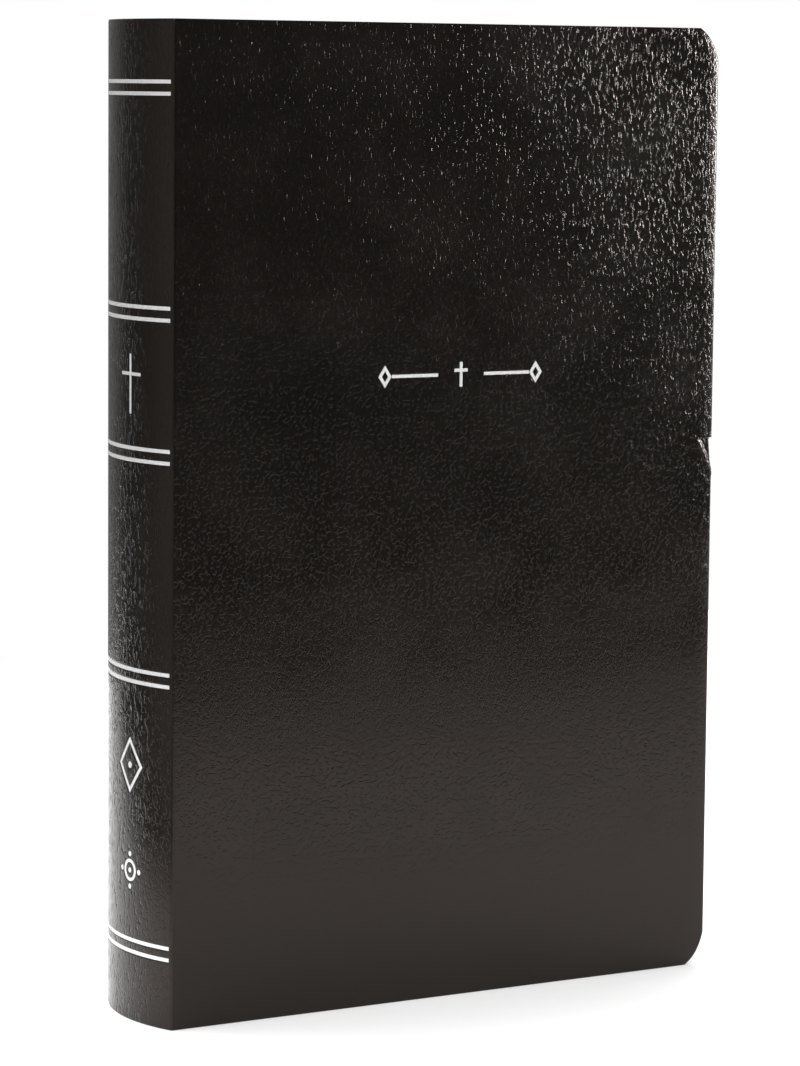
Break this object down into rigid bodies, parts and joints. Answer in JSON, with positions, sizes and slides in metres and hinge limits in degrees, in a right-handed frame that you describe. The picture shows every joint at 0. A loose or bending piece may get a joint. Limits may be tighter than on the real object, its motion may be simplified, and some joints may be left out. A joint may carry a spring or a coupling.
{
  "type": "bible",
  "caption": "Soft-cover bible with a rounded spine, thin black leather-look cover, rounded fore-edge corners and silver foil rules; it opens at the middle and at each cover.",
  "frame": {"origin": "middle of the closed book's bounding box, on the plane of the tail that it stands on", "axes": "+X from the spine to the fore-edge, +Y from the front cover to the back cover, +Z from the tail to the head"},
  "size_m": [0.1401, 0.031, 0.213],
  "materials": {
    "cover_leather": "semi-gloss black leather-look with a fine crease grain",
    "endpaper": "smooth uncoated white paper",
    "spine_gauze": "open cotton gauze",
    "spine_glue": "hot-melt adhesive",
    "page_paper": "thin printed bible paper",
    "silver_foil": "hot-stamped silver foil"
  },
  "bodies": {
    "back_half": {"spine_cover_back": "cover_leather", "back_hinge_strip": "cover_leather", "spine_lining_back": "spine_gauze", "spine_glue_back": "spine_glue", "back_flyleaf_stub": "endpaper", "spine_foil_back": "silver_foil", "section_13": "page_paper", "section_14": "page_paper", "section_15": "page_paper", "section_16": "page_paper", "section_17": "page_paper", "section_18": "page_paper", "section_19": "page_paper", "section_20": "page_paper", "section_21": "page_paper", "section_22": "page_paper", "section_23": "page_paper", "section_24": "page_paper"},
    "front_half": {"spine_cover_front": "cover_leather", "front_hinge_strip": "cover_leather", "spine_lining_front": "spine_gauze", "spine_glue_front": "spine_glue", "front_flyleaf_stub": "endpaper", "spine_foil_front": "silver_foil", "section_01": "page_paper", "section_02": "page_paper", "section_03": "page_paper", "section_04": "page_paper", "section_05": "page_paper", "section_06": "page_paper", "section_07": "page_paper", "section_08": "page_paper", "section_09": "page_paper", "section_10": "page_paper", "section_11": "page_paper", "section_12": "page_paper"},
    "front_cover": {"front_cover": "cover_leather", "front_pastedown": "endpaper", "front_foil_ornament": "silver_foil"},
    "back_cover": {"back_cover": "cover_leather", "back_pastedown": "endpaper"},
    "front_flyleaf": {"front_flyleaf": "endpaper"},
    "back_flyleaf": {"back_flyleaf": "endpaper"},
    "middle_leaf_1": {"middle_leaf_1": "page_paper"},
    "middle_leaf_2": {"middle_leaf_2": "page_paper"},
    "middle_leaf_3": {"middle_leaf_3": "page_paper"},
    "middle_leaf_4": {"middle_leaf_4": "page_paper"}
  },
  "joints": [
    {"name": "book_open", "type": "hinge", "parent": "back_half", "child": "front_half", "pos_m": [-0.07005, 0, 0.1065], "axis": [0, 0, -1], "range_deg": [0, 180]},
    {"name": "front_cover_open", "type": "hinge", "parent": "front_half", "child": "front_cover", "pos_m": [-0.06065, -0.0155, 0.1065], "axis": [0, 0, -1], "range_deg": [0, 90]},
    {"name": "back_cover_open", "type": "hinge", "parent": "back_half", "child": "back_cover", "pos_m": [-0.06065, 0.0155, 0.1065], "axis": [0, 0, 1], "range_deg": [0, 90]},
    {"name": "front_flyleaf_turn", "type": "hinge", "parent": "front_half", "child": "front_flyleaf", "pos_m": [-0.0589, -0.01445, 0.1065], "axis": [0, 0, -1], "range_deg": [0, 54]},
    {"name": "back_flyleaf_turn", "type": "hinge", "parent": "back_half", "child": "back_flyleaf", "pos_m": [-0.0589, 0.01445, 0.1065], "axis": [0, 0, 1], "range_deg": [0, 54]},
    {"name": "middle_leaf_1_turn", "type": "hinge", "parent": "back_half", "child": "middle_leaf_1", "pos_m": [-0.07005, 0, 0.1065], "axis": [0, 0, -1], "range_deg": [0, 144]},
    {"name": "middle_leaf_2_turn", "type": "hinge", "parent": "back_half", "child": "middle_leaf_2", "pos_m": [-0.07005, 0, 0.1065], "axis": [0, 0, -1], "range_deg": [0, 108]},
    {"name": "middle_leaf_3_turn", "type": "hinge", "parent": "front_half", "child": "middle_leaf_3", "pos_m": [-0.07005, 0, 0.1065], "axis": [0, 0, 1], "range_deg": [0, 108]},
    {"name": "middle_leaf_4_turn", "type": "hinge", "parent": "front_half", "child": "middle_leaf_4", "pos_m": [-0.07005, 0, 0.1065], "axis": [0, 0, 1], "range_deg": [0, 144]}
  ],
  "couplings": [
    {"joint": "front_flyleaf_turn", "follows": "front_cover_open", "ratio": 0.599},
    {"joint": "back_flyleaf_turn", "follows": "back_cover_open", "ratio": 0.599},
    {"joint": "middle_leaf_1_turn", "follows": "book_open", "ratio": 0.799},
    {"joint": "middle_leaf_2_turn", "follows": "book_open", "ratio": 0.599},
    {"joint": "middle_leaf_3_turn", "follows": "book_open", "ratio": 0.599},
    {"joint": "middle_leaf_4_turn", "follows": "book_open", "ratio": 0.799}
  ]
}
